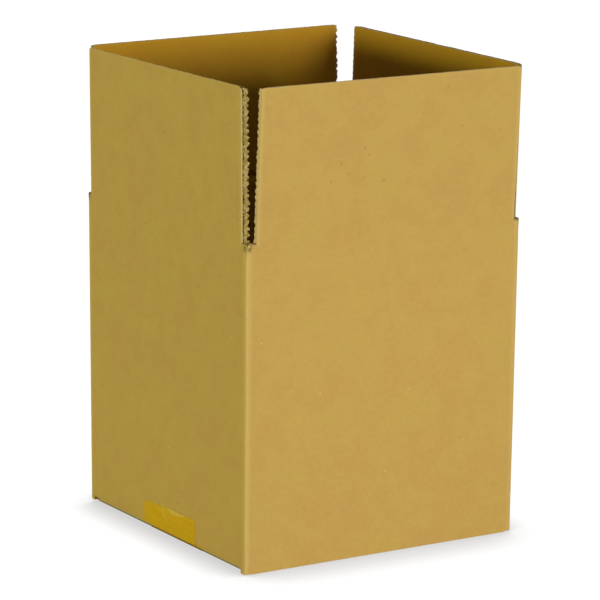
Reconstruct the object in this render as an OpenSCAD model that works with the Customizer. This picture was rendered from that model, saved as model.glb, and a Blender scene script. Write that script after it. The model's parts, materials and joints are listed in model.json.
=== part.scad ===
// Open cardboard box: a slotted carton folded from one sheet of fluted board.
// Its bottom flaps are shut under a strip of tape and its top flaps stand open.
// Millimetres, +Z up, origin under the middle of the base. The front is -Y and the left is -X.

/* [Box] */
// Inside width, from the left wall to the right wall
inner_w = 151; // [90:0.5:400]
// Inside depth, from the front wall to the back wall
inner_d = 149.5; // [90:0.5:400]
// Inside height once every flap is closed
inner_h = 152; // [60:0.5:400]
// Outer radius of the folds
fold_r = 2.2; // [0.5:0.1:2.8]

/* [Board] */
// Thickness of the corrugated board
board_t = 3; // [2.5:0.1:5]
// Thickness of each flat facing
liner_t = 0.35; // [0.2:0.05:0.6]
// Thickness of the wavy middle ply at its crests
medium_t = 0.35; // [0.2:0.05:0.6]
// Distance from one flute crest to the next
flute_pitch = 6.4; // [4:0.1:10]
// Width of the glued stripe at a flute crest
bond_w = 0.5; // [0.2:0.05:1]
// Space between boards that lie on each other
ply_gap = 0.2; // [0.1:0.05:0.6]

/* [Top flaps] */
// Front and back flap, from the score line to the free edge
flap_len = 74.7; // [30:0.1:75]
// Radius of a flap's corners at its free edge
flap_corner_r = 1.2; // [0.5:0.1:6]
// Radius of the left flap's rubbed corner, at the wide slot
worn_corner_r = 3.6; // [0.5:0.1:12]
// Side inset of a flap at a plain slot
slot_inset = 3.4; // [3.3:0.1:12]
// Side inset of the front flap at the wide slot, front left
wide_inset_front = 5.5; // [3.4:0.1:12]
// Side inset of the left flap at the wide slot, front left
wide_inset_left = 4.6; // [3.4:0.1:12]
// Side inset of the back flap at the glued corner, back right
lap_inset_back = 8.6; // [3.4:0.1:16]
// Side inset of the right flap at the glued corner, back right
lap_inset_right = 5; // [3.4:0.1:16]
// Height of the slot bottoms above the lower score lines
slot_lift = 0.8; // [0:0.1:2.5]
// Outward lean of the front flap, in degrees
lean_front = 3.1; // [0:0.1:30]
// Outward lean of the back flap, in degrees
lean_back = 2.2; // [0:0.1:30]
// Outward lean of the left flap, in degrees
lean_left = 0.6; // [0:0.1:30]
// Outward lean of the right flap, in degrees
lean_right = 1.4; // [0:0.1:30]

/* [Scores] */
// Width of the crushed line between wall and flap, at the outer face
crease_gap = 0.3; // [0.2:0.05:0.8]
// Height of the crushed, flute-free zone above the inner lip of a score
crush_h = 1.2; // [0.5:0.1:5]
// Play beside a flap where its root drops into the wall's score
side_gap = 0.3; // [0.1:0.05:0.4]

/* [Base] */
// Side inset of the bottom flaps
base_inset = 4; // [3.4:0.1:8]
// Gap between the two flaps of a bottom layer
seam_gap = 2; // [0.5:0.1:12]
// Height of the corner posts' feet above the outer bottom flaps
post_lift = 0.4; // [0.1:0.1:2]

/* [Glued lap] */
// Width of the lap that joins the back panel to the right panel
lap_w = 30; // [15:1:45]
// How much shorter the lap is along its free edge, at each end
lap_taper = 8; // [0:0.5:20]
// Clear height between the lap and the flaps, at each end
lap_clear = 2; // [1:0.5:10]
// Setback of the right panel's cut edge from the back panel's face
lap_setback = 0.6; // [0.2:0.1:1.5]

/* [Tape] */
// Width of the tape
tape_w = 51; // [24:1:80]
// Thickness of the tape
tape_t = 0.12; // [0.05:0.01:0.3]
// Middle of the tape, from the seam towards the back
tape_shift = -4.3; // [-10:0.1:10]
// Height of the tape's left end, at its front edge
tape_rise_front = 16.2; // [8:0.1:60]
// Height of the tape's left end, at its back edge
tape_rise_back = 13.1; // [8:0.1:60]
// Height of the tape's right end
tape_rise_right = 15; // [8:0.1:60]

/* [Hidden] */
$fn = 48;
card_color = "#b3964c";
tape_color = "#b6911e";

// How far a cut runs past the face that it opens
overrun = 1;
// Straight pieces that stand for one flute's curve
arch_steps = 10;
// Straight pieces that stand for the tape's curve round a fold
hug_steps = 6;

outer_w = inner_w + 2 * board_t;
outer_d = inner_d + 2 * board_t;
half_w = outer_w / 2;
half_d = outer_d / 2;
half_crease = crease_gap / 2;

// One board over another: the front and back pairs lie outside the left and right pairs
ply_step = board_t + ply_gap;
base_z = tape_t;
inner_base_z = base_z + ply_step;
floor_z = inner_base_z + board_t;
low_score_z = floor_z + inner_h + board_t;
high_score_z = low_score_z + ply_step;
slot_z = low_score_z + slot_lift;

// The blank's free edge is straight, so the flaps with the lower score are longer
side_flap_len = flap_len + ply_step;

// Arch of one flute between a facing and the middle ply
arch_half = (flute_pitch - bond_w) / 2;
arch_h = board_t - 2 * liner_t - medium_t;
function arch_rise(x) = arch_h * (1 + cos(180 * x / arch_half)) / 2;
arch_outline = [
    for (i = [0 : arch_steps])
        let (x = arch_half * (2 * i / arch_steps - 1))
        [x, arch_rise(x)]
];

// The taut tape hugs the fold of an inner bottom flap, then runs straight to the outer flaps' edge
tape_hug_z = ply_step + fold_r;
tape_span = norm([base_inset - fold_r, tape_hug_z]);
tape_slope = atan2(tape_hug_z, fold_r - base_inset) + asin(fold_r / tape_span) - 90;

// Stands a child on a panel: X along the panel, Y inwards from its outer face, Z up from height z
module on_panel(turn, half_depth, z, lean = 0) {
    rotate([0, 0, turn])
        translate([0, -half_depth, z])
            rotate([lean, 0, 0])
                children();
}

// Runs a profile, drawn as (inwards, up), along a panel from one place to another
module along_panel(from, to) {
    translate([from, 0, 0])
        rotate([90, 0, 90])
            linear_extrude(to - from)
                children();
}

// Flute channels of a board seen on end, its outer face on the X axis
module flute_holes(reach) {
    count = ceil(reach / flute_pitch);
    for (i = [-count : count]) {
        translate([i * flute_pitch, liner_t])
            polygon(arch_outline);
        translate([(i - 1 / 2) * flute_pitch, board_t - liner_t])
            mirror([0, 1, 0])
                polygon(arch_outline);
    }
}

// Outline of a flap with rounded corners, its score line on the X axis
module flap_outline(from, to, length, r_from, r_to) {
    middle = (from + to) / 2;
    translate([from, half_crease])
        square([middle - from, length - r_from - half_crease]);
    translate([middle, half_crease])
        square([to - middle, length - r_to - half_crease]);
    translate([from + r_from, half_crease])
        square([to - from - r_from - r_to, length - half_crease]);
    translate([from + r_from, length - r_from])
        circle(r_from);
    translate([to - r_to, length - r_to])
        circle(r_to);
}

// A top flap: fluted board, open along its free edge and cut sides, mitred at the score
module top_flap(panel_w, inset_from, inset_to, length, r_to = flap_corner_r) {
    from = inset_from - panel_w / 2;
    to = panel_w / 2 - inset_to;
    lip = half_crease + board_t;
    color(card_color)
        difference() {
            translate([0, board_t, 0])
                rotate([90, 0, 0])
                    linear_extrude(board_t)
                        flap_outline(from, to, length, flap_corner_r, r_to);
            along_panel(from - overrun, to + overrun)
                polygon([
                    [-overrun, 0],
                    [-overrun, half_crease],
                    [0, half_crease],
                    [board_t + overrun, lip + overrun],
                    [board_t + overrun, 0]
                ]);
            translate([0, 0, lip + crush_h])
                linear_extrude(length)
                    flute_holes(panel_w / 2);
        }
}

// Mitre of a wall under its flap: all that is above the score, and the wedge inside it
module wall_score(panel_w, inset_from, inset_to) {
    top = ply_step + overrun;
    along_panel(inset_from - side_gap - panel_w / 2, panel_w / 2 - inset_to + side_gap)
        polygon([
            [-overrun, -half_crease],
            [0, -half_crease],
            [board_t + overrun, -half_crease - board_t - overrun],
            [board_t + overrun, top],
            [-overrun, top]
        ]);
}

// The walls from above: three folded corners, and a lapped one at the back right
module wall_plan() {
    difference() {
        union() {
            translate([fold_r - half_w, -half_d])
                square([outer_w - 2 * fold_r, board_t]);
            translate([-half_w, fold_r - half_d])
                square([board_t, outer_d - 2 * fold_r]);
            translate([fold_r - half_w, half_d - board_t])
                square([outer_w - board_t - 2 * fold_r, board_t]);
            translate([half_w - board_t, fold_r - half_d])
                square([board_t, outer_d - fold_r - lap_setback]);
            // Root of the lap, inside the right panel
            translate([half_w - 2 * board_t, half_d - board_t])
                square([board_t, board_t - fold_r]);
            for (fold = [
                [fold_r - half_w, fold_r - half_d],
                [half_w - fold_r, fold_r - half_d],
                [fold_r - half_w, half_d - fold_r],
                [half_w - board_t - fold_r, half_d - fold_r]
            ])
                translate(fold)
                    circle(fold_r);
        }
        square([inner_w, inner_d], center = true);
    }
}

// One slot above a corner post, with its insets along X and Y
module slot_cut(side_x, side_y, inset_x, inset_y) {
    depth = high_score_z - slot_z + overrun;
    mirror([side_x < 0 ? 1 : 0, 0, 0])
        mirror([0, side_y < 0 ? 1 : 0, 0])
            translate([half_w - inset_x, half_d - inset_y, slot_z])
                cube([inset_x + overrun, inset_y + overrun, depth]);
}

// Room in the wall's foot for a bottom flap and its fold
module wall_foot_cut(panel_w, z) {
    along_panel(base_inset - panel_w / 2, panel_w / 2 - base_inset)
        translate([-overrun, base_z - z - overrun])
            square([board_t + 2 * overrun, z - base_z + fold_r + overrun]);
}

// A bottom flap and the rounded fold that joins it to its wall
module base_flap(panel_w, length) {
    along_panel(base_inset - panel_w / 2, panel_w / 2 - base_inset)
        difference() {
            union() {
                translate([fold_r, 0])
                    square([length - fold_r, board_t]);
                translate([fold_r, fold_r])
                    circle(fold_r);
            }
            translate([board_t, board_t])
                square([length, board_t + fold_r]);
        }
}

// The lap glued inside the right panel, its free edge tapered
module glued_lap() {
    low = floor_z + lap_clear;
    high = low_score_z - board_t - lap_clear;
    root = half_d - board_t;
    translate([half_w - 2 * board_t, 0, 0])
        rotate([90, 0, 90])
            linear_extrude(board_t)
                polygon([
                    [root, low],
                    [root, high],
                    [root - lap_w, high - lap_taper],
                    [root - lap_w, low + lap_taper]
                ]);
}

module box_body() {
    foot_z = base_z + post_lift;
    color(card_color) {
        difference() {
            translate([0, 0, foot_z])
                linear_extrude(high_score_z - foot_z)
                    wall_plan();
            on_panel(0, half_d, high_score_z)
                wall_score(outer_w, wide_inset_front, slot_inset);
            on_panel(180, half_d, high_score_z)
                wall_score(outer_w, lap_inset_back, slot_inset);
            on_panel(-90, half_w, low_score_z)
                wall_score(outer_d, slot_inset, wide_inset_left);
            on_panel(90, half_w, low_score_z)
                wall_score(outer_d, slot_inset, lap_inset_right);
            slot_cut(-1, -1, wide_inset_front, wide_inset_left);
            slot_cut(1, -1, slot_inset, slot_inset);
            slot_cut(-1, 1, slot_inset, slot_inset);
            slot_cut(1, 1, lap_inset_back, lap_inset_right);
            for (turn = [0, 180])
                on_panel(turn, half_d, base_z)
                    wall_foot_cut(outer_w, base_z);
            for (turn = [-90, 90])
                on_panel(turn, half_w, inner_base_z)
                    wall_foot_cut(outer_d, inner_base_z);
        }
        for (turn = [0, 180])
            on_panel(turn, half_d, base_z)
                base_flap(outer_w, half_d - seam_gap / 2);
        for (turn = [-90, 90])
            on_panel(turn, half_w, inner_base_z)
                base_flap(outer_d, half_w - seam_gap / 2);
        glued_lap();
    }
}

module top_flap_front() {
    on_panel(0, half_d, high_score_z, lean_front)
        top_flap(outer_w, wide_inset_front, slot_inset, flap_len);
}

module top_flap_back() {
    on_panel(180, half_d, high_score_z, lean_back)
        top_flap(outer_w, lap_inset_back, slot_inset, flap_len);
}

module top_flap_left() {
    on_panel(-90, half_w, low_score_z, lean_left)
        top_flap(outer_d, slot_inset, wide_inset_left, side_flap_len, worn_corner_r);
}

module top_flap_right() {
    on_panel(90, half_w, low_score_z, lean_right)
        top_flap(outer_d, slot_inset, lap_inset_right, side_flap_len);
}

// Half of the tape seen from the front, its inner face on the corner of a panel and the base
module tape_run() {
    mitre = tape_t * (1 - sin(tape_slope)) / cos(tape_slope);
    hug = [
        for (i = [0 : hug_steps])
            let (angle = tape_slope * i / hug_steps)
            [-cos(angle), -sin(angle)]
    ];
    fold_middle = [fold_r, tape_hug_z];
    inner_face = [
        for (side = hug) fold_middle + fold_r * side,
        [base_inset, 0],
        [half_w, 0]
    ];
    outer_face = [
        for (side = hug) fold_middle + (fold_r + tape_t) * side,
        [base_inset - mitre, -tape_t],
        [half_w, -tape_t]
    ];
    last = len(outer_face) - 1;
    polygon([
        for (point = inner_face) point,
        for (i = [0 : last]) outer_face[last - i]
    ]);
}

// A turned-up end of the tape, its height given at both edges
module tape_end(rise_front, rise_back) {
    foot = base_z + tape_hug_z;
    rotate([90, 0, 90])
        linear_extrude(tape_t)
            polygon([
                [-tape_w / 2, foot],
                [tape_w / 2, foot],
                [tape_w / 2, rise_back],
                [-tape_w / 2, rise_front]
            ]);
}

module bottom_tape() {
    color(tape_color)
        translate([0, tape_shift, 0]) {
            rotate([90, 0, 0])
                linear_extrude(tape_w, center = true)
                    for (side = [0, 1])
                        mirror([side, 0, 0])
                            translate([-half_w, base_z])
                                tape_run();
            translate([-half_w - tape_t, 0, 0])
                tape_end(tape_rise_front, tape_rise_back);
            translate([half_w, 0, 0])
                tape_end(tape_rise_right, tape_rise_right);
        }
}

box_body();
top_flap_front();
top_flap_back();
top_flap_left();
top_flap_right();
bottom_tape();
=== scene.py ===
import json
import math

import bpy
from mathutils import Matrix, Vector


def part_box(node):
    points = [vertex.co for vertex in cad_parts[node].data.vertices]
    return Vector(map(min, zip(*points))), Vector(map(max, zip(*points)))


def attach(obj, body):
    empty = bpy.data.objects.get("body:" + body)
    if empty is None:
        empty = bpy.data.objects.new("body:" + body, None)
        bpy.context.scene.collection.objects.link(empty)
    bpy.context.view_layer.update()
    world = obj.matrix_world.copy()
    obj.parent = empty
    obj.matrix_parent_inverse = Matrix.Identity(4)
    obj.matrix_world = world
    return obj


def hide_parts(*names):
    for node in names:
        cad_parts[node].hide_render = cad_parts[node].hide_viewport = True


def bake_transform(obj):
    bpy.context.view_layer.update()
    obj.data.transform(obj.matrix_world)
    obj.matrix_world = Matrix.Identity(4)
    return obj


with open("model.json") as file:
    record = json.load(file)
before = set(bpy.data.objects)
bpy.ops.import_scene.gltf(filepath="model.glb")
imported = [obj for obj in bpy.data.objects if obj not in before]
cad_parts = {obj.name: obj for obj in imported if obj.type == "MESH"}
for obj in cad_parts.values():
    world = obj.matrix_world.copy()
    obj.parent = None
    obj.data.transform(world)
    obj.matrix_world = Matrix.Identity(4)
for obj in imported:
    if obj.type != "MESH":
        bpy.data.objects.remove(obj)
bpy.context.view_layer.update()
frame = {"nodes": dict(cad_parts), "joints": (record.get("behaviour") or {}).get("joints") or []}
joints = {joint["name"]: joint for joint in frame["joints"]}
mm = 0.001
tiny = 0.02 * mm
quarterTurn = math.pi / 2
print("frame loaded:", sorted(frame["nodes"]))

# the board that the whole carton is cut from
board = {
    "thickness": 3 * mm,
    "liner": 0.35 * mm,
    "medium": 0.35 * mm,
    "flutePitch": 6.4 * mm,
    "foldRadius": 2.2 * mm,
    "bendReach": 4 * mm,  # a flap bends this far above and below its score
    "bendMargin": 0.3 * mm,
}

# the four panels: local X runs along the panel, local Y goes inwards;
# the flaps of the major panels close over the others
panels = {
    "front": {"turn": 0, "node": "top_flap_front", "body": "front_flap", "major": True},
    "left": {"turn": -90, "node": "top_flap_left", "body": "left_flap", "major": False},
    "back": {"turn": 180, "node": "top_flap_back", "body": "back_flap", "major": True},
    "right": {"turn": 90, "node": "top_flap_right", "body": "right_flap", "major": False},
}
for panel in panels.values():
    hinge = joints[panel["body"] + "_hinge"]
    panel["hinge"] = Vector(hinge["pos_m"])
    panel["lean"] = math.radians(hinge["range_deg"][1] - 90)
    panel["matrix"] = Matrix.Rotation(math.radians(panel["turn"]), 4, "Z")
    corners = [panel["matrix"].inverted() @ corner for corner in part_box(panel["node"])]
    panel["span"] = sorted(corner.x for corner in corners)
    rise = max(corner.z for corner in corners) - panel["hinge"].z
    rise -= board["thickness"] * math.sin(panel["lean"])
    panel["length"] = rise / math.cos(panel["lean"])

halfW = abs(panels["left"]["hinge"].x)
halfD = abs(panels["front"]["hinge"].y)
for panel in panels.values():
    panel["half"], panel["outward"] = (halfW, halfD) if panel["major"] else (halfD, halfW)
lowScore = panels["left"]["hinge"].z
seamZ = lowScore - board["bendReach"] - board["bendMargin"]  # walls end and flap pieces begin here


# ways of working on a mesh
def pick(obj, kind, test):
    bpy.ops.object.mode_set(mode="EDIT")
    bpy.ops.mesh.select_mode(type=kind)
    bpy.ops.mesh.select_all(action="DESELECT")
    bpy.ops.object.mode_set(mode="OBJECT")
    mesh = obj.data
    if kind == "VERT":
        for vert in mesh.vertices:
            vert.select = test(vert.co)
    elif kind == "EDGE":
        for edge in mesh.edges:
            edge.select = test(*[mesh.vertices[i].co for i in edge.vertices])
    else:
        for face in mesh.polygons:
            face.select = test(face.center, face.normal)
    bpy.ops.object.mode_set(mode="EDIT")


def editAll():
    bpy.ops.object.mode_set(mode="EDIT")
    bpy.ops.mesh.select_all(action="SELECT")


def finishEdit():
    bpy.ops.object.mode_set(mode="OBJECT")


def extrudeBy(step):
    bpy.ops.mesh.extrude_region_move(TRANSFORM_OT_translate={"value": step})


def applyModifier(obj, kind, **settings):
    modifier = obj.modifiers.new(kind.title(), kind)
    for key, value in settings.items():
        setattr(modifier, key, value)
    bpy.ops.object.modifier_apply(modifier=modifier.name)


def applyPlace(obj, scale=None):
    if scale:
        obj.scale = scale
    bpy.ops.object.transform_apply(location=True, rotation=True, scale=True)


def addSheet(name, columns, rows, size, location, rotation):
    bpy.ops.object.select_all(action="DESELECT")
    bpy.ops.mesh.primitive_grid_add(
        x_subdivisions=columns, y_subdivisions=rows, size=1, location=location, rotation=rotation)
    obj = bpy.context.object
    obj.name = name
    applyPlace(obj, (size[0], size[1], 1))
    return obj


def smoothFolds(obj, degrees):
    bpy.ops.object.select_all(action="DESELECT")
    obj.select_set(True)
    bpy.context.view_layer.objects.active = obj
    bpy.ops.object.shade_smooth_by_angle(angle=math.radians(degrees))


def faceOutwards(obj, isOuter):
    editAll()
    bpy.ops.mesh.normals_make_consistent(inside=False)
    finishEdit()
    outer = next(face for face in obj.data.polygons if isOuter(face.center))
    if outer.normal.x * outer.center.x < 0:
        editAll()
        bpy.ops.mesh.flip_normals()
        finishEdit()


def setFloats(obj, name, values):
    attribute = obj.data.attributes.new(name, "FLOAT", "POINT")
    attribute.data.foreach_set("value", values)


# ways of working on a node tree
def addNode(tree, kind, inputs=(), **settings):
    node = tree.nodes.new(kind)
    for key, value in settings.items():
        setattr(node, key, value)
    for key, value in dict(inputs).items():
        if isinstance(value, bpy.types.NodeSocket):
            tree.links.new(value, node.inputs[key])
        else:
            node.inputs[key].default_value = value
    return node


def math2(tree, operation, a, b):
    return addNode(tree, "ShaderNodeMath", {0: a, 1: b}, operation=operation).outputs[0]


def absolute(tree, value):
    return addNode(tree, "ShaderNodeMath", {0: value}, operation="ABSOLUTE").outputs[0]


def splitAxes(tree, vector):
    return addNode(tree, "ShaderNodeSeparateXYZ", {0: vector}).outputs


def ramp(tree, value, low, high, start=0.0, stop=1.0):
    inputs = {"Value": value, "From Min": low, "From Max": high, "To Min": start, "To Max": stop}
    node = addNode(tree, "ShaderNodeMapRange", inputs, interpolation_type="SMOOTHSTEP")
    return node.outputs["Result"]


def mixColor(tree, factor, a, b):
    return addNode(tree, "ShaderNodeMix", {0: factor, 6: a, 7: b}, data_type="RGBA").outputs[2]


noiseRoughness = 0.6
noiseRange = (0.3, 0.7)  # most of a noise's values lie here


def noise(tree, vector, scale, detail):
    inputs = {"Vector": vector, "Scale": scale, "Detail": detail, "Roughness": noiseRoughness}
    return addNode(tree, "ShaderNodeTexNoise", inputs).outputs[0]


def stretchedNoise(tree, vector, stretch, detail):
    mapped = addNode(tree, "ShaderNodeMapping", {"Vector": vector, "Scale": stretch})
    return noise(tree, mapped.outputs[0], 1, detail)


def pointValue(tree, name):
    return addNode(tree, "ShaderNodeAttribute", attribute_name=name).outputs["Fac"]


def addBump(tree, shader, strength, depth, height):
    inputs = {"Strength": strength, "Distance": depth, "Height": height}
    bump = addNode(tree, "ShaderNodeBump", inputs)
    tree.links.new(bump.outputs[0], shader.inputs["Normal"])


def newGroup(name, inputs, outputs):
    tree = bpy.data.node_groups.new(name, "ShaderNodeTree")
    for socket, kind in inputs.items():
        tree.interface.new_socket(socket, in_out="INPUT", socket_type=kind)
    for socket, kind in outputs.items():
        tree.interface.new_socket(socket, in_out="OUTPUT", socket_type=kind)
    return tree, tree.nodes.new("NodeGroupInput"), tree.nodes.new("NodeGroupOutput")


def newMaterial(name):
    material = bpy.data.materials.new(name)
    material.use_nodes = True
    return material, material.node_tree, material.node_tree.nodes["Principled BSDF"]


def objectPlace(tree):
    return addNode(tree, "ShaderNodeTexCoord").outputs["Object"]


# scales are per metre
paper = {
    "cloud": {"scale": 90, "detail": 3, "shade": 0.034},
    "mottle": {"scale": 420, "detail": 2, "shade": 0.048},
    "grain": {"scale": 1100, "detail": 3, "shade": 0.028},
    "fibre": {"stretch": (260, 260, 2400), "detail": 4, "shade": 0.030},
    "shadeRange": (0.25, 0.75),
    "drift": {"scale": 45, "detail": 2, "hue": (0.497, 0.503)},
    "bark": {"color": (0.16, 0.09, 0.02, 1), "shift": (0.0, 0.0, 0.0), "rarity": 0.68},
    "bleached": {"color": (0.70, 0.53, 0.24, 1), "shift": (0.37, 0.37, 0.37), "rarity": 0.76},
    "speckScale": 150,
    "speckReach": (0.03, 0.12),
    "speckStrength": (0.45, 0.0),
    "wear": (0.65, 1.0),
    # how far the darkening goes, and the dark brown it mixes towards: painted shade, with floor
    # dirt at the foot
    "shadeAndDirtStrength": 0.75,
    "shadeAndSoilColor": (0.13, 0.085, 0.022, 1),
    "roughness": (0.82, 0.95),
    "bumpDepth": 0.12 * mm,
    "gloss": 0.15,
}


def makePaperGroup():
    sockets = {"Base": "NodeSocketColor", "Pale": "NodeSocketColor",
               "Rubbed": "NodeSocketFloat", "ShadeAndDirt": "NodeSocketFloat"}
    results = {"Color": "NodeSocketColor", "Height": "NodeSocketFloat",
               "Roughness": "NodeSocketFloat"}
    tree, given, result = newGroup("kraft_paper", sockets, results)
    place = objectPlace(tree)
    layers = {}
    for name in ("cloud", "mottle", "grain"):
        layers[name] = noise(tree, place, paper[name]["scale"], paper[name]["detail"])
    fibre = paper["fibre"]
    layers["fibre"] = stretchedNoise(tree, place, fibre["stretch"], fibre["detail"])
    shade = 1.0
    for name, layer in layers.items():
        swing = paper[name]["shade"] / 2
        shade = math2(tree, "ADD", shade, ramp(tree, layer, *paper["shadeRange"], -swing, swing))
    drift = noise(tree, place, paper["drift"]["scale"], paper["drift"]["detail"])
    hue = ramp(tree, drift, *noiseRange, *paper["drift"]["hue"])
    toned = addNode(tree, "ShaderNodeHueSaturation",
                    {"Hue": hue, "Value": shade, "Color": given.outputs["Base"]}).outputs[0]
    # scattered flecks of bark and bleached fibre, one cell in a few
    for speck in (paper["bark"], paper["bleached"]):
        inputs = {0: place, 1: speck["shift"]}
        moved = addNode(tree, "ShaderNodeVectorMath", inputs, operation="ADD").outputs[0]
        inputs = {"Vector": moved, "Scale": paper["speckScale"]}
        cells = addNode(tree, "ShaderNodeTexVoronoi", inputs)
        chosen = math2(tree, "GREATER_THAN", cells.outputs["Color"], speck["rarity"])
        dot = ramp(tree, cells.outputs["Distance"], *paper["speckReach"], *paper["speckStrength"])
        toned = mixColor(tree, math2(tree, "MULTIPLY", dot, chosen), toned, speck["color"])
    wear = ramp(tree, layers["grain"], *noiseRange, *paper["wear"])
    wear = math2(tree, "MULTIPLY", given.outputs["Rubbed"], wear)
    worn = mixColor(tree, wear, toned, given.outputs["Pale"])
    # the darkening input mixes the colour towards a dark brown: painted shade of torn fibres and of
    # the recess at the foot, with floor dirt there
    shadeAndDirt = math2(tree, "MULTIPLY", given.outputs["ShadeAndDirt"], paper["shadeAndDirtStrength"])
    height = math2(tree, "ADD", layers["grain"], layers["fibre"])
    roughness = ramp(tree, layers["grain"], *noiseRange, *paper["roughness"])
    tree.links.new(mixColor(tree, shadeAndDirt, worn, paper["shadeAndSoilColor"]), result.inputs["Color"])
    tree.links.new(height, result.inputs["Height"])
    tree.links.new(roughness, result.inputs["Roughness"])
    return tree


# base is the sheet itself, pale is where it is rubbed; inside, the base is darker and redder than
# outside, as painted shade of the box's interior
finishes = {
    "kraftOutside": {
        "base": (0.520, 0.330, 0.082, 1), "pale": (0.580, 0.395, 0.122, 1), "bump": 0.22},
    "kraftInsideShaded": {
        "base": (0.418, 0.216, 0.012, 1), "pale": (0.440, 0.270, 0.045, 1), "bump": 0.22},
    "cutBoard": {
        "base": (0.540, 0.385, 0.155, 1), "pale": (0.620, 0.440, 0.200, 1), "bump": 0.60},
    "tornCore": {
        "base": (0.270, 0.190, 0.045, 1), "pale": (0.430, 0.340, 0.125, 1), "bump": 0.60},
    "flutedMedium": {
        "base": (0.470, 0.300, 0.085, 1), "pale": (0.560, 0.400, 0.150, 1), "bump": 0.30},
}
foldRub = {
    "reach": 3.4 * mm,
    "full": 1.3 * mm,
    "strength": (0.75, 1.6),  # along the folds, and where the slots end
    "slotEnd": 0.5 * mm,
    # these four shape the painted fibre shade below the slots
    "fibreShadeReach": 3 * mm,
    "fibreShadeStretch": (900, 900, 260),
    "fibreShadeDetail": 2,
    "fibreShadeRange": (0.40, 0.52),
}
footShadeAndSoil = {
    "height": (0.5 * mm, 1.1 * mm),  # darkened up to the first height, plain from the second
    "postEdge": (3.9 * mm, 3.2 * mm),  # not darkened from here to the walls
}
tufts = {"scale": 420, "detail": 2, "range": (0.40, 0.58)}


def makePaperMaterial(name, finish, rubbedSource, shadeAndDirtSource=None):
    material, tree, shader = newMaterial(name)
    sheet = addNode(tree, "ShaderNodeGroup", node_tree=paperGroup)
    sheet.inputs["Base"].default_value = finish["base"]
    sheet.inputs["Pale"].default_value = finish["pale"]
    tree.links.new(rubbedSource(tree), sheet.inputs["Rubbed"])
    # an optional darkening mask: painted shade, with floor dirt at the foot
    if shadeAndDirtSource:
        tree.links.new(shadeAndDirtSource(tree), sheet.inputs["ShadeAndDirt"])
    tree.links.new(sheet.outputs["Color"], shader.inputs["Base Color"])
    tree.links.new(sheet.outputs["Roughness"], shader.inputs["Roughness"])
    addBump(tree, shader, finish["bump"], paper["bumpDepth"], sheet.outputs["Height"])
    shader.inputs["Specular IOR Level"].default_value = paper["gloss"]
    return material


def nearFolds(tree, axes, mask):
    for axis, half in ((0, halfW), (1, halfD)):
        distance = absolute(tree, axes[axis])
        near = ramp(tree, distance, half - foldRub["reach"], half - foldRub["full"])
        mask = math2(tree, "MULTIPLY", near, mask)
    return mask


# the walls are rubbed pale along their four upright folds, most of all where the slots end
def rubbedFolds(tree):
    axes = splitAxes(tree, objectPlace(tree))
    slotEnd = lowScore + foldRub["slotEnd"]
    mask = ramp(tree, axes[2], slotEnd - foldRub["reach"], slotEnd, *foldRub["strength"])
    return nearFolds(tree, axes, mask)


# dark streaks below the slots are painted shade of the fibres torn out there
def tornFibreShade(tree):
    place = objectPlace(tree)
    axes = splitAxes(tree, place)
    torn = stretchedNoise(tree, place, foldRub["fibreShadeStretch"], foldRub["fibreShadeDetail"])
    streaks = ramp(tree, torn, *foldRub["fibreShadeRange"])
    slotEnd = lowScore + foldRub["slotEnd"]
    below = ramp(tree, axes[2], slotEnd - foldRub["fibreShadeReach"], slotEnd)
    return nearFolds(tree, axes, math2(tree, "MULTIPLY", streaks, below))


# the bottom flaps' cut edges, between the corner posts, are darkened near the floor: painted shade
# of the recess under the walls, with floor dirt
def shadedSoiledFoot(tree):
    axes = splitAxes(tree, objectPlace(tree))
    low = ramp(tree, axes[2], *footShadeAndSoil["height"], 1.0, 0.0)
    inner, outer = (halfW - depth for depth in footShadeAndSoil["postEdge"])
    within = ramp(tree, absolute(tree, axes[0]), inner, outer, 1.0, 0.0)
    return math2(tree, "MULTIPLY", low, within)


# the flaps carry their wear on their points
def rubbedEdges(tree):
    return pointValue(tree, "rubbed")


# torn fibres are pale in tufts and dim between them
def paleTufts(tree):
    tuft = noise(tree, objectPlace(tree), tufts["scale"], tufts["detail"])
    return ramp(tree, tuft, *tufts["range"])


amber = {
    "stuck": (0.610, 0.350, 0.007, 1),
    "liftedAndHighlight": (0.660, 0.450, 0.090, 1),
    "shadeAndDirt": (0.150, 0.090, 0.010, 1),
    "plainUnder": (7 * mm, 4.6 * mm),  # the strip under the box is not darkened this far in from the walls
    "roughness": (0.42, 0.58),
    "streakStretch": (60, 60, 900),
    "streakDetail": 3,
    "streakShade": (0.95, 1.05),
    "patchScale": 90,
    "patchDetail": 3,
    "patchRange": (0.50, 0.80),
    "patchTone": (0.0, 0.22),
    "bump": 0.25,
    "bumpDepth": 0.05 * mm,
    "gloss": 0.03,
}


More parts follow.
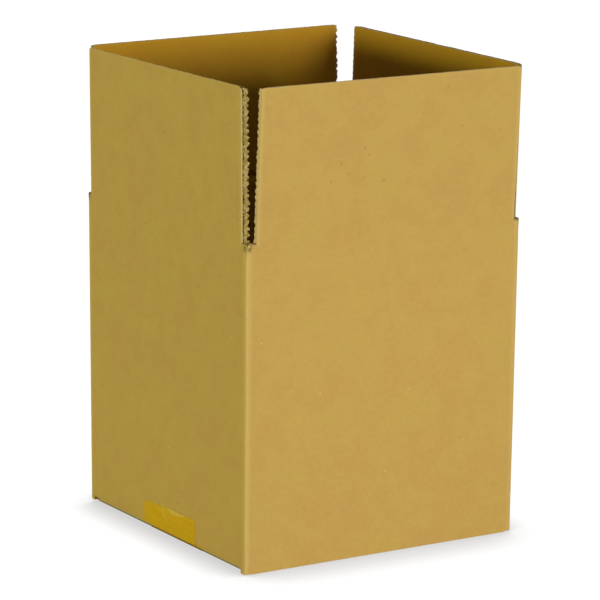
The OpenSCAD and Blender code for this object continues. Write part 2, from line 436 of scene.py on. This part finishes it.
def makeTapeMaterial():
    material, tree, shader = newMaterial("amber_tape")
    place = objectPlace(tree)
    streak = stretchedNoise(tree, place, amber["streakStretch"], amber["streakDetail"])
    patch = noise(tree, place, amber["patchScale"], amber["patchDetail"])
    patchy = ramp(tree, patch, *amber["patchRange"], *amber["patchTone"])
    # paler where the film is lifted off the card; along the wrinkle this paleness is also a painted
    # highlight
    spread = math2(tree, "ADD", pointValue(tree, "liftedAndHighlight"), patchy)
    tone = mixColor(tree, spread, amber["stuck"], amber["liftedAndHighlight"])
    shade = ramp(tree, streak, *noiseRange, *amber["streakShade"])
    toned = addNode(tree, "ShaderNodeHueSaturation", {"Value": shade, "Color": tone}).outputs[0]
    # the turn at the foot of the walls is darkened: painted shade at the foot, with floor dirt
    axes = splitAxes(tree, place)
    undarkened = ramp(tree, axes[2], *footShadeAndSoil["height"])
    inner, outer = (halfW - depth for depth in amber["plainUnder"])
    under = ramp(tree, absolute(tree, axes[0]), inner, outer, 1.0, 0.0)
    undarkened = math2(tree, "MAXIMUM", undarkened, under)
    roughness = ramp(tree, patch, *noiseRange, *amber["roughness"])
    tree.links.new(mixColor(tree, undarkened, amber["shadeAndDirt"], toned), shader.inputs["Base Color"])
    tree.links.new(roughness, shader.inputs["Roughness"])
    addBump(tree, shader, amber["bump"], amber["bumpDepth"], streak)
    shader.inputs["Specular IOR Level"].default_value = amber["gloss"]
    return material


paperGroup = makePaperGroup()
wallPaper = makePaperMaterial("kraft_wall", finishes["kraftOutside"], rubbedFolds, tornFibreShade)
flapPaper = makePaperMaterial("kraft_flap", finishes["kraftOutside"], rubbedEdges)
# the inside liners take the darker inside colour, painted shade of the box's interior
wallInsideShaded = makePaperMaterial("kraft_wall_inside_shaded", finishes["kraftInsideShaded"], rubbedFolds)
flapInsideShaded = makePaperMaterial("kraft_flap_inside_shaded", finishes["kraftInsideShaded"], rubbedEdges)
wallCut = makePaperMaterial("cut_wall_edge", finishes["cutBoard"], rubbedFolds, shadedSoiledFoot)
flapCut = makePaperMaterial("cut_flap_edge", finishes["cutBoard"], rubbedEdges)
tornCore = makePaperMaterial("torn_core", finishes["tornCore"], paleTufts)
fluted = makePaperMaterial("fluted_medium", finishes["flutedMedium"], rubbedEdges)
tapeFilm = makeTapeMaterial()
print("finishes made")

# the walls and bottom, folded from one strip
carton = {
    "slotLift": 0.8 * mm,  # slot bottoms above the lower scores
    "baseInset": 4 * mm,
    "plyStep": 3.2 * mm,  # the left and right bottom flaps lie this much higher
    "postLift": 0.4 * mm,
    "postReach": 12 * mm,
    "foldEnd": 0.7 * mm,  # the bottom folds' ends lie this close above the feet
    "seamGap": 2 * mm,
    "lapWidth": 30 * mm,
    "lapTaper": 8 * mm,
    "lapClear": 2 * mm,
    "lapSetback": 0.6 * mm,
    "fraying": 0.70 * mm,
    # how far the slots end above or below the common height, and how short the feet are, by corner
    "postTops": {(-1, -1): 1.6 * mm, (-1, 1): 1.2 * mm, (1, -1): -0.4 * mm, (1, 1): 0.4 * mm},
    "postFeet": {(-1, -1): 0, (-1, 1): 1.4 * mm, (1, -1): 0.2 * mm, (1, 1): 0.6 * mm},
    "flare": (0.63 * mm, 1.0 * mm),  # the open top spreads the walls this far to each side
    "foldSegments": 6,
    "foldProfile": 0.72,
    "facingUp": 0.9,  # the least rise of a level face's normal
    "topCuts": 4,
    "fraySeed": 5,
    "smoothAngle": 35,
}
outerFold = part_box("box_body")[0].z
innerFold = outerFold + carton["plyStep"]
slotZ = lowScore + carton["slotLift"]
for panel in panels.values():
    panel["footZ"] = outerFold if panel["major"] else innerFold
    panel["footReach"] = panel["half"] - carton["baseInset"]


def spreadTop(obj):
    for vert in obj.data.vertices:
        share = min(vert.co.z, seamZ) / seamZ
        vert.co.x *= 1 + share * carton["flare"][0] / halfW
        vert.co.y *= 1 + share * carton["flare"][1] / halfD


def onPanel(side, place):
    local = panels[side]["matrix"].inverted() @ place
    return local if abs(local.y + panels[side]["outward"]) < tiny else None


def onFoot(side, a, b):
    footZ, reach = panels[side]["footZ"], panels[side]["footReach"] + tiny
    ends = [onPanel(side, end) for end in (a, b)]
    if None in ends:
        return False
    return all(abs(end.z - footZ) < tiny and abs(end.x) < reach for end in ends)


def cutPanel(obj, side, zones, places):
    across = panels[side]["matrix"] @ Vector((1, 0, 0))

    def inZone(center, normal):
        return onPanel(side, center) is not None and zones[0] < center.z < zones[1]

    for x in places:
        pick(obj, "FACE", inZone)
        bpy.ops.mesh.bisect(plane_co=across * x, plane_no=across)


def foldStrip():
    length = 2 * halfD - carton["lapSetback"]
    height = slotZ - outerFold
    middle = Vector((halfW, -carton["lapSetback"] / 2, outerFold + height / 2))
    bpy.ops.object.select_all(action="DESELECT")
    bpy.ops.mesh.primitive_plane_add(size=1, location=middle, rotation=(0, quarterTurn, 0))
    obj = bpy.context.object
    obj.name = "carton_body"
    applyPlace(obj, (height, length, 1))
    pick(obj, "EDGE", lambda a, b: max(a.y, b.y) < tiny - halfD)
    extrudeBy((-2 * halfW, 0, 0))
    extrudeBy((0, 2 * halfD, 0))
    extrudeBy((2 * halfW - board["thickness"], 0, 0))
    extrudeBy((0, -board["thickness"] - carton["lapWidth"], 0))
    finishEdit()
    faceOutwards(obj, lambda center: center.x > halfW - tiny)
    return obj


def shapeLap(obj):
    face = halfW - board["thickness"]
    free = halfD - board["thickness"] - carton["lapWidth"]
    low = innerFold + board["thickness"] + carton["lapClear"]
    high = lowScore - board["thickness"] - carton["lapClear"]

    def onLap(center, normal):
        return abs(center.x - face) < tiny

    for z in (low, high):
        pick(obj, "FACE", onLap)
        bpy.ops.mesh.bisect(plane_co=(0, 0, z), plane_no=(0, 0, 1))
    pick(obj, "FACE", lambda c, n: onLap(c, n) and not low < c.z < high)
    bpy.ops.mesh.delete(type="FACE")
    pick(obj, "VERT", lambda co: abs(co.x - face) < tiny and abs(co.y - free) < tiny)
    shorter = 1 - 2 * carton["lapTaper"] / (high - low)
    bpy.ops.transform.resize(value=(1, 1, shorter), center_override=(face, free, (low + high) / 2))
    finishEdit()


def openSlots(obj):
    for z in (seamZ, innerFold, outerFold + carton["postLift"]):
        editAll()
        bpy.ops.mesh.bisect(plane_co=(0, 0, z), plane_no=(0, 0, 1))
        finishEdit()
    for side, panel in panels.items():
        reach, footZ = panel["footReach"], panel["footZ"]
        cutPanel(obj, side, (seamZ, slotZ), panel["span"])
        cutPanel(obj, side, (outerFold, innerFold), (-reach, reach))

        def spare(center, normal):
            local = onPanel(side, center)
            if local is None:
                return False
            if local.z > seamZ:
                return panel["span"][0] < local.x < panel["span"][1]
            if abs(local.x) < reach:
                return local.z < footZ
            return local.z < outerFold + carton["postLift"]

        pick(obj, "FACE", spare)
        bpy.ops.mesh.delete(type="FACE")
        finishEdit()


def foldBottom(obj):
    for side, panel in panels.items():
        depth = panel["outward"] - carton["seamGap"] / 2
        pick(obj, "EDGE", lambda a, b: onFoot(side, a, b))
        extrudeBy(panel["matrix"] @ Vector((0, depth, 0)))
        finishEdit()


def roundFolds(obj):
    lapFold = halfW - board["thickness"]
    uprights = [(halfW, -halfD), (-halfW, -halfD), (-halfW, halfD), (lapFold, halfD)]

    def onFold(a, b):
        if abs(a.x - b.x) < tiny and abs(a.y - b.y) < tiny:
            return any(abs(a.x - x) < tiny and abs(a.y - y) < tiny for x, y in uprights)
        return any(onFoot(side, a, b) for side in panels)

    pick(obj, "EDGE", onFold)
    bpy.ops.mesh.bevel(offset=board["foldRadius"], segments=carton["foldSegments"],
                       affect="EDGES", profile=carton["foldProfile"])
    finishEdit()


def movePosts(obj, level, lifts):
    for (sideX, sideY), lift in lifts.items():

        def ofPost(co):
            outside = min(co.x * sideX - halfW, co.y * sideY - halfD) > -carton["postReach"]
            return outside and -tiny < co.z - level < carton["foldEnd"]

        pick(obj, "VERT", ofPost)
        bpy.ops.transform.translate(value=(0, 0, lift))
        finishEdit()


def frayPosts(obj):
    pick(obj, "FACE", lambda c, n: c.z > slotZ - tiny and n.z > carton["facingUp"])
    bpy.ops.mesh.subdivide(number_cuts=carton["topCuts"])
    finishEdit()
    movePosts(obj, slotZ, carton["postTops"])
    movePosts(obj, outerFold + carton["postLift"], carton["postFeet"])
    pick(obj, "VERT", lambda co: co.z > slotZ - carton["fraying"])
    bpy.ops.transform.vertex_random(offset=carton["fraying"], seed=carton["fraySeed"])
    finishEdit()


def makeCarton():
    obj = foldStrip()
    shapeLap(obj)
    openSlots(obj)
    foldBottom(obj)
    for material in (wallPaper, wallInsideShaded, wallCut):
        obj.data.materials.append(material)
    applyModifier(obj, "SOLIDIFY", thickness=board["thickness"], offset=-1, use_even_offset=True,
                  use_rim=True, material_offset=1, material_offset_rim=2)
    roundFolds(obj)
    frayPosts(obj)
    spreadTop(obj)
    smoothFolds(obj, carton["smoothAngle"])
    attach(obj, "box")
    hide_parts("box_body")
    print("carton folded:", len(obj.data.polygons), "faces")


makeCarton()

# the flaps: two liners with a wavy medium between them, torn along the slots
flapMake = {
    "column": 2.5 * mm,
    "row": 1 * mm,
    "waveSteps": 3,  # faces in a quarter of a flute
    "creaseDepth": 0.9 * mm,
    "creaseReach": 2.6 * mm,
    "innerSetback": 0.35 * mm,
    "topSlant": 0.25 * mm,
    "lip": (0.30 * mm, 0.85 * mm),  # the outer liner's crushed edge
    "rimOver": 0.10 * mm,
    "rimThickness": 0.45 * mm,
    "toothPitch": 1.8 * mm,
    "rubReach": 1.6 * mm,
    "topRub": 0.3,
    "pinchReach": 3.5 * mm,
    "leanSteps": 8,
    "bendSteps": 4,
    "scoreCrush": (0.50, 0.60, 0.80),  # what is left of the flutes at the score and beside it
    "rimColumns": 3,
    "rimCuts": 2,
    "toothLean": 0.4,  # this and the next two are shares of the tear
    "rimWander": 0.75,
    "rimFractal": 1.4,
    "rimSeed": 5,
    "lipTear": 0.04 * mm,
    "smoothAngle": 40,
}
# for the two slot sides: tear is how rough they are, slit how far the core has come off the
# outer liner, pinch how much the blade crushed the board, rims what shows, corner how round the
# free corner is, and skew how much too long or short the flap was cut there; along the top, sink
# is how far the core and the inner liner lie below the outer liner, and top how far it wanders
flapWear = {
    "front": {"tear": (0.50 * mm, 0.14 * mm), "slit": (0, 0.3 * mm), "pinch": (0.35, 0.1),
              "rims": (flapCut, tornCore), "corner": (1.0 * mm, 1.8 * mm), "skew": (0, 0),
              "sink": (0.60 * mm, 0.55 * mm), "top": 0.10 * mm, "seed": 11},
    "left": {"tear": (0.15 * mm, 0.95 * mm), "slit": (0, 0.45 * mm), "pinch": (0.1, 0),
             "rims": (tornCore, tornCore), "corner": (1.2 * mm, 3.6 * mm), "skew": (-0.6 * mm, 0),
             "sink": (0.95 * mm, 0.90 * mm), "top": 0.28 * mm, "seed": 23},
    "back": {"tear": (0.70 * mm, 0.30 * mm), "slit": (0.3 * mm, 0), "pinch": (0.28, 0.1),
             "rims": (flapCut, tornCore), "corner": (0.3 * mm, 1.2 * mm),
             "skew": (0.6 * mm, -0.25 * mm), "sink": (0, 0), "top": 0.08 * mm, "seed": 37},
    "right": {"tear": (0.30 * mm, 0.14 * mm), "slit": (0.3 * mm, 0), "pinch": (0.1, 0.1),
              "rims": (tornCore, flapCut), "corner": (1.2 * mm, 0.8 * mm),
              "skew": (-0.35 * mm, 0.1 * mm), "sink": (0, 0), "top": 0.10 * mm, "seed": 41},
}


def makeLiner(name, span, rise, depth):
    width, height = span[1] - span[0], rise[1] - rise[0]
    columns = round(width / flapMake["column"])
    rows = round(height / flapMake["row"])
    middle = (sum(span) / 2, depth, sum(rise) / 2)
    return addSheet(name, columns, rows, (width, height), middle, (quarterTurn, 0, 0))


def wanderTop(obj, high, amount, seed):
    pick(obj, "VERT", lambda co: co.z > high - tiny)
    bpy.ops.transform.vertex_random(offset=amount, seed=seed)
    finishEdit()


# one flute is spun from arcs of the paper's thickness line, then repeated
def makeMedium(span, rise, wear):
    width = span[1] - span[0]
    count = round(width / board["flutePitch"])
    pitch = width / count
    crest = board["thickness"] - board["liner"] - board["medium"] / 2
    swing = board["thickness"] - 2 * board["liner"] - board["medium"]
    slope = 2 * math.atan(2 * swing / pitch)
    radius = pitch / 4 / math.sin(slope)
    steps = flapMake["bendSteps"]
    bendRows = [board["bendReach"] * k / steps for k in range(-steps, steps + 1)]
    levels = [rise[0]] + bendRows + [rise[1] / 2, rise[1] - flapMake["row"], rise[1]]

    bpy.ops.object.select_all(action="DESELECT")
    bpy.ops.mesh.primitive_plane_add(size=flapMake["row"], location=(span[0], crest, rise[0]))
    obj = bpy.context.object
    obj.name = "flute"
    applyPlace(obj)
    editAll()
    bpy.ops.mesh.merge(type="CENTER")
    for low, high in zip(levels, levels[1:]):
        extrudeBy((0, 0, high - low))
    bpy.ops.mesh.select_all(action="SELECT")
    crestMiddle, troughMiddle = crest - radius, crest - swing + radius
    arcs = ((0, crestMiddle, 1), (0.5, troughMiddle, -2), (1, crestMiddle, 1))
    for share, y, turns in arcs:
        bpy.ops.mesh.spin(steps=flapMake["waveSteps"] * abs(turns), angle=turns * slope,
                          center=(span[0] + share * pitch, y, 0), axis=(0, 0, 1))
    finishEdit()
    applyModifier(obj, "ARRAY", count=count, use_relative_offset=False, use_constant_offset=True,
                  constant_offset_displace=(pitch, 0, 0), use_merge_vertices=True,
                  merge_threshold=tiny)
    # the score crushes the flutes
    for level, left in enumerate(flapMake["scoreCrush"]):
        for z in {bendRows[steps - level], bendRows[steps + level]}:
            pick(obj, "VERT", lambda co: abs(co.z - z) < tiny)
            bpy.ops.transform.resize(value=(1, left, 1), center_override=(0, board["liner"], z))
            finishEdit()
    wanderTop(obj, rise[1], wear["top"], wear["seed"] + 2)
    applyModifier(obj, "SOLIDIFY", thickness=board["medium"], offset=0)
    return obj


# fibres that the slotting blade pulled out of the cut
def makeTornRim(x, outward, rise, across, tear, seed):
    height = rise[1] - rise[0]
    rows = 2 * round(height / flapMake["toothPitch"])
    step = height / rows
    middle = (x - outward * flapMake["rimThickness"] / 2, sum(across) / 2, sum(rise) / 2)
    size = (across[1] - across[0], height)
    obj = addSheet("torn_rim", flapMake["rimColumns"], rows, size, middle,
                   (quarterTurn, 0, outward * quarterTurn))

    # an uneven run of teeth
    def tooth(co):
        row = round((co.z - rise[0]) / step)
        return co.y > across[1] - tiny and (3 * row * row + row) % 7 < 3

    pick(obj, "VERT", tooth)
    bpy.ops.transform.translate(value=(flapMake["toothLean"] * outward * tear, tear, 0))
    bpy.ops.mesh.select_all(action="SELECT")
    bpy.ops.transform.vertex_random(offset=flapMake["rimWander"] * tear, seed=seed)
    bpy.ops.mesh.subdivide(number_cuts=flapMake["rimCuts"],
                           fractal=flapMake["rimFractal"] * tear / step, seed=seed)
    finishEdit()
    applyModifier(obj, "SOLIDIFY", thickness=flapMake["rimThickness"], offset=0)
    return obj


def roundCorners(obj, span, high, radii):
    for x, outward, radius in ((span[0], -1, radii[0]), (span[1], 1, radii[1])):
        center = Vector((x - outward * radius, high - radius))
        for vert in obj.data.vertices:
            away = Vector((vert.co.x, vert.co.z)) - center
            if away.x * outward > 0 and away.y > 0 and away.length > radius:
                away.length = radius
                vert.co.x, vert.co.z = center + away


def leanOut(obj, lean):
    steps = flapMake["leanSteps"]
    reach = board["bendReach"]
    for step in range(steps):
        level = reach * (2 * step + 1 - steps) / steps
        pick(obj, "VERT", lambda co: co.z > level)
        bpy.ops.transform.rotate(
            value=-lean / steps, orient_axis="X", center_override=(0, 0, level))
        finishEdit()


def pinchSides(obj, span, low, pinch):
    reach = flapMake["pinchReach"]
    for x, amount in zip(span, pinch):
        for vert in obj.data.vertices:
            near = max(0, 1 - abs(vert.co.x - x) / reach)
            above = min(1, max(0, (vert.co.z - low) / reach))
            vert.co.y *= 1 - amount * near * above


def skewTop(obj, span, high, skew):
    for vert in obj.data.vertices:
        share = (vert.co.x - span[0]) / (span[1] - span[0])
        longer = skew[0] + share * (skew[1] - skew[0])
        vert.co.z += longer * max(0, vert.co.z / high)


def rubbing(co, span, low, high):
    if co.z < low:
        return 0
    bySide = 1 - min(co.x - span[0], span[1] - co.x) / flapMake["rubReach"]
    byTop = 1 - (high - co.z) / flapMake["rubReach"]
    return min(1, max(0, bySide, flapMake["topRub"] * byTop))


def makeFlap(side):
    panel, wear = panels[side], flapWear[side]
    span, high, score = panel["span"], panel["length"], panel["hinge"].z
    rise = (seamZ - score, high)
    setback = flapMake["innerSetback"]
    innerSpan = (span[0] + setback, span[1] - setback)

    coreHigh, innerHigh = (high - sink for sink in wear["sink"])
    medium = makeMedium(span, (rise[0], coreHigh), wear)
    medium.data.materials.append(fluted)

    liners = []
    innerDepth = board["thickness"] - board["liner"]
    for name, cut, depth, top in (("outer_liner", span, 0, high),
                                  ("inner_liner", innerSpan, innerDepth, innerHigh)):
        liner = makeLiner(name, cut, (rise[0], top), depth)
        wanderTop(liner, top, wear["top"], wear["seed"] + len(liners))
        if depth:
            pick(liner, "VERT", lambda co: abs(co.z) < flapMake["row"] / 2)
            bpy.ops.transform.translate(
                value=(0, -flapMake["creaseDepth"], 0), use_proportional_edit=True,
                proportional_edit_falloff="SMOOTH", proportional_size=flapMake["creaseReach"])
            finishEdit()
        for material in (flapPaper, flapInsideShaded, flapCut):
            liner.data.materials.append(material)
        applyModifier(liner, "SOLIDIFY", thickness=board["liner"], offset=-1, use_rim=True,
                      material_offset=1, material_offset_rim=2)
        pick(liner, "VERT", lambda co: co.y < tiny and co.z > top - flapMake["row"] / 2)
        bpy.ops.transform.translate(value=(0, 0, -flapMake["topSlant"]))
        finishEdit()
        liners.append(liner)

    rims = []
    slotRise = (slotZ - score, high - flapMake["row"] / 2)
    for end, outward in enumerate((-1, 1)):
        lip, inner = flapMake["lip"], board["thickness"] + flapMake["rimOver"]
        slit, tear = wear["slit"][end], wear["tear"][end]
        seed = wear["seed"] + flapMake["rimSeed"] + outward
        if slit:
            strips = [(lip, flapMake["lipTear"]), ((lip[1] + slit, inner), tear)]
        else:
            strips = [((lip[0], inner), tear)]
        for across, roughness in strips:
            rim = makeTornRim(span[end], outward, slotRise, across, roughness, seed)
            rim.data.materials.append(wear["rims"][end])
            rims.append(rim)

    bpy.ops.object.select_all(action="DESELECT")
    for part in (medium, *liners, *rims):
        part.select_set(True)
    obj = liners[0]
    bpy.context.view_layer.objects.active = obj
    bpy.ops.object.join()
    obj.name = side + "_flap_board"

    pinchSides(obj, span, slotRise[0], wear["pinch"])
    roundCorners(obj, span, high, wear["corner"])
    rubbed = [rubbing(vert.co, span, slotRise[0], high) for vert in obj.data.vertices]
    setFloats(obj, "rubbed", rubbed)
    skewTop(obj, span, high, wear["skew"])
    leanOut(obj, panel["lean"])
    smoothFolds(obj, flapMake["smoothAngle"])
    obj.location = panel["hinge"]
    obj.rotation_euler.z = math.radians(panel["turn"])
    applyPlace(obj)
    spreadTop(obj)
    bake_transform(obj)
    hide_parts(panel["node"])
    print(side, "flap made:", len(obj.data.polygons), "faces")


for side in panels:
    makeFlap(side)

# the tape under the bottom seam, turned up at both ends
tape = {
    "cell": 1 * mm,
    "thickness": 0.12 * mm,
    "hugSteps": 5,
    "hugRadius": 1 * mm,
    "riseBack": 13.1 * mm,
    "riseRight": 15 * mm,
    "wrinkle": ((3.3 * mm, 15.5 * mm), (0.8 * mm, 11.7 * mm), (-2.2 * mm, 8.8 * mm)),
    "wrinkleReach": 0.7 * mm,
    "wrinkleHeight": 0.30 * mm,
    "bubble": ((1.2 * mm, 17 * mm), (-22 * mm, 18 * mm), (-18 * mm, 15 * mm), (-7.4 * mm, 13 * mm)),
    "bubbleHeight": 0.16 * mm,
    "bubbleTone": 0.62,
    "smoothAngle": 40,
}


def distanceToRun(point, run):
    best = math.inf
    for a, b in zip(run, run[1:]):
        a, b = Vector(a), Vector(b)
        share = max(0, min(1, (point - a).dot(b - a) / (b - a).length_squared))
        best = min(best, (point - a.lerp(b, share)).length)
    return best


def insideBubble(point):
    corners = [Vector(corner) for corner in tape["bubble"]]
    turns = [(b - a).cross(point - a) for a, b in zip(corners, corners[1:] + corners[:1])]
    return all(turn > 0 for turn in turns) or all(turn < 0 for turn in turns)


# it is pressed round the inner flap's fold and down the outer flaps' edges
def makeTape():
    low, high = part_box("bottom_tape")
    radius, landing = tape["hugRadius"], halfW - carton["baseInset"]
    foot = innerFold + radius
    recess = carton["baseInset"] - radius
    width, height = high.y - low.y, high.z - foot
    middle = (-halfW, (low.y + high.y) / 2, foot + height / 2)
    columns, rows = round(width / tape["cell"]), round(height / tape["cell"])
    obj = addSheet("seam_tape", columns, rows, (width, height), middle,
                   (quarterTurn, 0, -quarterTurn))
    # the left end was torn off at a slant, higher at the front
    editAll()
    slant = Vector((0, high.z - tape["riseBack"], width))
    bpy.ops.mesh.bisect(plane_co=(-halfW, low.y, high.z), plane_no=slant, clear_outer=True)
    finishEdit()

    def crest(co):
        return 1 - distanceToRun(co.yz, tape["wrinkle"]) / tape["wrinkleReach"]

    # the bubble is paler where the film is lifted, and the wrinkle's crest is paler too, partly
    # lifted film and partly a painted highlight
    def liftedAndHighlight(co):
        if co.x > tiny - halfW:
            return 0
        return max(0, crest(co), tape["bubbleTone"] * insideBubble(co.yz))

    pick(obj, "VERT", lambda co: insideBubble(co.yz))
    bpy.ops.transform.translate(value=(-tape["bubbleHeight"], 0, 0))
    pick(obj, "VERT", lambda co: crest(co) > 0)
    bpy.ops.transform.translate(value=(-tape["wrinkleHeight"], 0, 0))

    pick(obj, "EDGE", lambda a, b: max(a.z, b.z) < foot + tiny)
    turn = {"steps": tape["hugSteps"], "angle": quarterTurn, "axis": (0, 1, 0)}
    bpy.ops.mesh.spin(center=(radius - halfW, 0, foot), **turn)
    extrudeBy((recess, 0, 0))
    extrudeBy((0, 0, outerFold - innerFold))
    extrudeBy((2 * landing, 0, 0))
    extrudeBy((0, 0, innerFold - outerFold))
    extrudeBy((recess, 0, 0))
    bpy.ops.mesh.spin(center=(halfW - radius, 0, foot), **turn)
    extrudeBy((0, 0, tape["riseRight"] - foot))
    finishEdit()
    faceOutwards(obj, lambda center: center.x < tiny - halfW)
    applyModifier(obj, "SOLIDIFY", thickness=tape["thickness"], offset=1)
    setFloats(obj, "liftedAndHighlight", [liftedAndHighlight(vert.co) for vert in obj.data.vertices])
    obj.data.materials.append(tapeFilm)
    smoothFolds(obj, tape["smoothAngle"])
    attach(obj, "box")
    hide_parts("bottom_tape")
    print("tape laid:", len(obj.data.polygons), "faces")


makeTape()

# white floor and surround, seen as white and lit as plain studio paper
studio = {
    "floorSize": 8,
    "floorBounce": (0.66, 0.66, 0.66, 1),
    "floorSeen": (0.12, 0.12, 0.12, 1),
    "floorGlow": (0.63, 1.0),  # beside the box, and in the open
    "shadowReach": (28 * mm, 44 * mm),  # at the sides, and in front
    "shadowGrowth": 12 * mm,  # the one becomes the other over this depth
    "occlusion": (0.45, 0.98),
    "occlusionSamples": 16,
    "ambient": (0.60, 0.05),  # level with the box, and overhead
    "ambientRise": (0.0, 0.4),
    "white": (1, 1, 1, 1),
}


def seenDirectly(tree):
    path = addNode(tree, "ShaderNodeLightPath")
    seen = math2(tree, "ADD", path.outputs["Is Camera Ray"], path.outputs["Is Glossy Ray"])
    return math2(tree, "ADD", seen, path.outputs["Is Transmission Ray"])


def makeFloor():
    bpy.ops.object.select_all(action="DESELECT")
    bpy.ops.mesh.primitive_plane_add(size=studio["floorSize"])
    obj = bpy.context.object
    obj.name = "studio_floor"
    material, tree, shader = newMaterial("studio_paper")
    seen = seenDirectly(tree)
    tone = mixColor(tree, seen, studio["floorBounce"], studio["floorSeen"])
    tree.links.new(tone, shader.inputs["Base Color"])
    shader.inputs["Roughness"].default_value = 1
    shader.inputs["Specular IOR Level"].default_value = 0
    shader.inputs["Emission Color"].default_value = studio["white"]
    # the shadow beside the box is painted: the glow seen on the floor is dimmed by ambient
    # occlusion, reaching further in front
    depth = splitAxes(tree, objectPlace(tree))[1]
    reach = ramp(tree, depth, -halfD, -halfD - studio["shadowGrowth"], *studio["shadowReach"])
    shade = addNode(tree, "ShaderNodeAmbientOcclusion", {"Distance": reach},
                    samples=studio["occlusionSamples"])
    glow = ramp(tree, shade.outputs["AO"], *studio["occlusion"], *studio["floorGlow"])
    tree.links.new(math2(tree, "MULTIPLY", seen, glow), shader.inputs["Emission Strength"])
    obj.data.materials.append(material)


def makeSurround():
    world = bpy.data.worlds.new("studio_surround")
    bpy.context.scene.world = world
    world.use_nodes = True
    tree = world.node_tree
    background = tree.nodes["Background"]
    background.inputs["Color"].default_value = studio["white"]
    skyward = splitAxes(tree, addNode(tree, "ShaderNodeTexCoord").outputs["Generated"])[2]
    ambient = ramp(tree, skyward, *studio["ambientRise"], *studio["ambient"])
    level = addNode(tree, "ShaderNodeMix", {0: seenDirectly(tree), 2: ambient, 3: 1.0})
    tree.links.new(level.outputs[0], background.inputs["Strength"])


# azimuth 0 is straight in front of the front panel, and negative is to its left
lamps = {
    "front_key": {
        "azimuth": 11, "elevation": 5, "level": 0.740, "angle": 13, "color": (1.0, 1.0, 1.0)},
    "left_fill": {
        "azimuth": -84, "elevation": 2.4, "level": 0.545, "angle": 6, "color": (0.92, 1.0, 0.61)},
    "back_fill": {
        "azimuth": 138, "elevation": 3, "level": 0.74, "angle": 6, "color": (1.0, 1.0, 0.96)},
    "top_fill": {
        "azimuth": -40, "elevation": 78, "level": 0.15, "angle": 30, "color": (1.0, 1.0, 1.0)},
}


def direction(azimuth, elevation):
    a, e = math.radians(azimuth), math.radians(elevation)
    return Vector((math.sin(a) * math.cos(e), -math.cos(a) * math.cos(e), math.sin(e)))


def makeLamp(name, lamp):
    data = bpy.data.lights.new(name, "SUN")
    data.energy = math.pi * lamp["level"]
    data.angle = math.radians(lamp["angle"])
    data.color = lamp["color"]
    obj = bpy.data.objects.new(name, data)
    bpy.context.scene.collection.objects.link(obj)
    obj.rotation_mode = "QUATERNION"
    obj.rotation_quaternion = direction(lamp["azimuth"], lamp["elevation"]).to_track_quat("Z", "Y")


# worked out from the box's corners in the picture
view = {
    "azimuth": -31.932,
    "elevation": 12.344,
    "roll": 0.522,
    "distance": 1.79293,
    "aimHeight": 113.7 * mm,
    "lens": 212.17,
    "sensor": 36,
    "clip": (0.05, 30),
}


def makeCamera():
    data = bpy.data.cameras.new("picture_camera")
    data.sensor_width = view["sensor"]
    data.lens = view["lens"]
    data.clip_start, data.clip_end = view["clip"]
    obj = bpy.data.objects.new("picture_camera", data)
    bpy.context.scene.collection.objects.link(obj)
    back = direction(view["azimuth"], view["elevation"])
    turn = back.to_track_quat("Z", "Y").to_matrix().to_4x4()
    roll = Matrix.Rotation(math.radians(view["roll"]), 4, "Z")
    place = Matrix.Translation(Vector((0, 0, view["aimHeight"])) + back * view["distance"])
    obj.matrix_world = place @ turn @ roll
    bpy.context.scene.camera = obj


makeFloor()
makeSurround()
for name, lamp in lamps.items():
    makeLamp(name, lamp)
makeCamera()
bpy.context.scene.view_settings.view_transform = "Standard"
print("studio lit")
